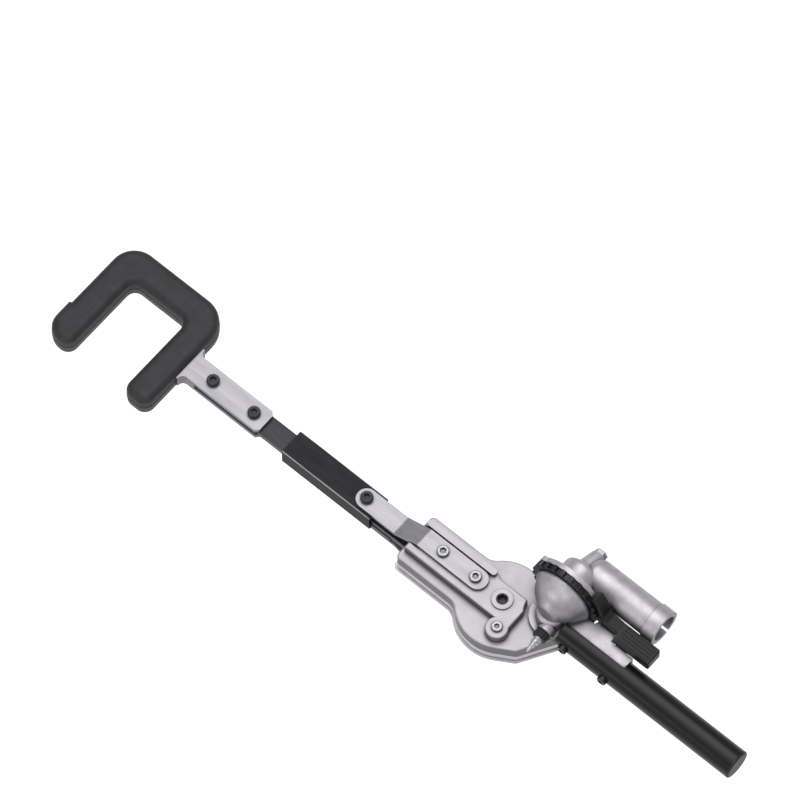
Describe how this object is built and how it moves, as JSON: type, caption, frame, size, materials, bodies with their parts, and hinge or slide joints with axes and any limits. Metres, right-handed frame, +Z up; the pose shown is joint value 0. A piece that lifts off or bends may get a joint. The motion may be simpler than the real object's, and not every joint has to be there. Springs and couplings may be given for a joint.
{
  "type": "pole harvester shaker head",
  "caption": "Shaker head for a fruit-harvesting pole: a rubber-covered hook on a reciprocating bar, gear case, folding geared elbow with a latch, side handle and split pole socket.",
  "frame": {"origin": "centre of the pole socket's mouth", "axes": "+X out of the mouth along the pole, away from the hook; +Z up, the side of the link plates' zinc screws seen in the picture; +Y across the tool, towards the pole side"},
  "size_m": [0.676, 0.1347, 0.0959],
  "materials": {
    "rubber": "satin moulded rubber",
    "plate_aluminium": "rolled aluminium plate, satin",
    "cast_aluminium": "die-cast aluminium, satin",
    "black_aluminium": "black anodised extrusion, satin",
    "black_steel": "black oxide steel, satin",
    "zinc_steel": "bright zinc plated steel",
    "gear_steel": "hardened steel, oiled",
    "bearing_steel": "ground bearing steel",
    "slide_plastic": "black acetal",
    "moulded_plastic": "black glass-filled nylon",
    "seal_rubber": "black nitrile",
    "gasket_fibre": "pressed fibre",
    "spring_steel": "drawn spring wire",
    "handle_enamel": "black coated aluminium tube, satin"
  },
  "bodies": {
    "pole_socket": {"socket_casting": "cast_aluminium", "housing_plug": "zinc_steel", "index_ring": "black_steel", "ring_screws": "black_steel", "pinch_bolt": "black_steel", "pinch_nut": "black_steel", "input_bearing": "bearing_steel", "input_circlip": "black_steel"},
    "input_shaft": {"input_shaft": "gear_steel", "input_bevel": "gear_steel"},
    "gear_head": {"crankcase_upper": "cast_aluminium", "crankcase_lower": "cast_aluminium", "case_gasket": "gasket_fibre", "case_screws": "black_steel", "crank_plug": "black_steel", "filler_screw": "zinc_steel", "crank_bearing_upper": "bearing_steel", "crank_bearing_lower": "bearing_steel", "pinion_bearing_upper": "bearing_steel", "pinion_bearing_lower": "bearing_steel", "bar_seal": "seal_rubber", "guide_sleeve": "black_aluminium", "upper_wear_pad": "slide_plastic", "lower_wear_pad": "slide_plastic", "sleeve_bolt": "black_steel", "sleeve_nut": "black_steel", "upper_link_plate": "plate_aluminium", "lower_link_plate": "plate_aluminium", "plate_screws": "zinc_steel", "elbow_casting": "cast_aluminium", "elbow_circlip": "black_steel", "elbow_dowel": "zinc_steel", "grease_plug": "moulded_plastic", "grease_nipple": "zinc_steel", "pivot_sleeve": "gear_steel", "pivot_circlip": "black_steel", "cross_bearing_inner": "bearing_steel", "cross_bearing_outer": "bearing_steel", "handle_tube": "handle_enamel", "handle_end_plug": "moulded_plastic", "handle_screws": "black_steel", "latch_pin": "zinc_steel", "latch_spring": "spring_steel"},
    "cross_shaft": {"cross_shaft": "gear_steel", "cross_bevel_inner": "gear_steel", "cross_bevel_outer": "gear_steel"},
    "pinion_shaft": {"pinion_shaft": "gear_steel", "pinion_bevel": "gear_steel"},
    "crank": {"crankshaft": "gear_steel", "crank_gear": "gear_steel"},
    "connecting_rod": {"connecting_rod": "gear_steel", "wrist_pin": "gear_steel"},
    "hook_slide": {"hook_frame": "plate_aluminium", "hook_rubber": "rubber", "hook_screws": "black_steel", "hook_nuts": "black_steel", "drive_bar": "black_steel"},
    "latch_lever": {"latch_lever": "moulded_plastic"}
  },
  "joints": [
    {"name": "input_spin", "type": "hinge", "parent": "pole_socket", "child": "input_shaft", "pos_m": [-0.07953, 0, 0], "axis": [1, 0, 0], "continuous": true},
    {"name": "fold", "type": "hinge", "parent": "pole_socket", "child": "gear_head", "pos_m": [-0.07953, -0.03, 0], "axis": [0, 1, 0], "range_deg": [-90, 45]},
    {"name": "cross_spin", "type": "hinge", "parent": "gear_head", "child": "cross_shaft", "pos_m": [-0.07953, -0.0215, 0], "axis": [0, 1, 0], "continuous": true},
    {"name": "pinion_spin", "type": "hinge", "parent": "gear_head", "child": "pinion_shaft", "pos_m": [-0.07953, -0.04301, -0.02], "axis": [0, 0, 1], "continuous": true},
    {"name": "crank_spin", "type": "hinge", "parent": "gear_head", "child": "crank", "pos_m": [-0.1175, -0.06, -0.035], "axis": [0, 0, 1], "continuous": true},
    {"name": "rod_turn", "type": "hinge", "parent": "crank", "child": "connecting_rod", "pos_m": [-0.1275, -0.06, -0.029], "axis": [0, 0, 1], "continuous": true},
    {"name": "bar_slide", "type": "slide", "parent": "gear_head", "child": "hook_slide", "axis": [1, 0, 0], "range_m": [0, 0.02]},
    {"name": "latch_turn", "type": "hinge", "parent": "gear_head", "child": "latch_lever", "pos_m": [-0.0425, -0.022, -0.016], "axis": [0, 1, 0], "range_deg": [0, 8], "stiffness_Nm_per_rad": 0.5, "springref_deg": -17.19, "deforming": ["latch_spring"]}
  ],
  "couplings": [
    {"joint": "pinion_spin", "follows": "crank_spin", "ratio": -3},
    {"joint": "cross_spin", "follows": "crank_spin", "ratio": -3},
    {"joint": "input_spin", "follows": "crank_spin", "ratio": -3},
    {"joint": "rod_turn", "follows": "crank_spin", "ratio": -1}
  ]
}
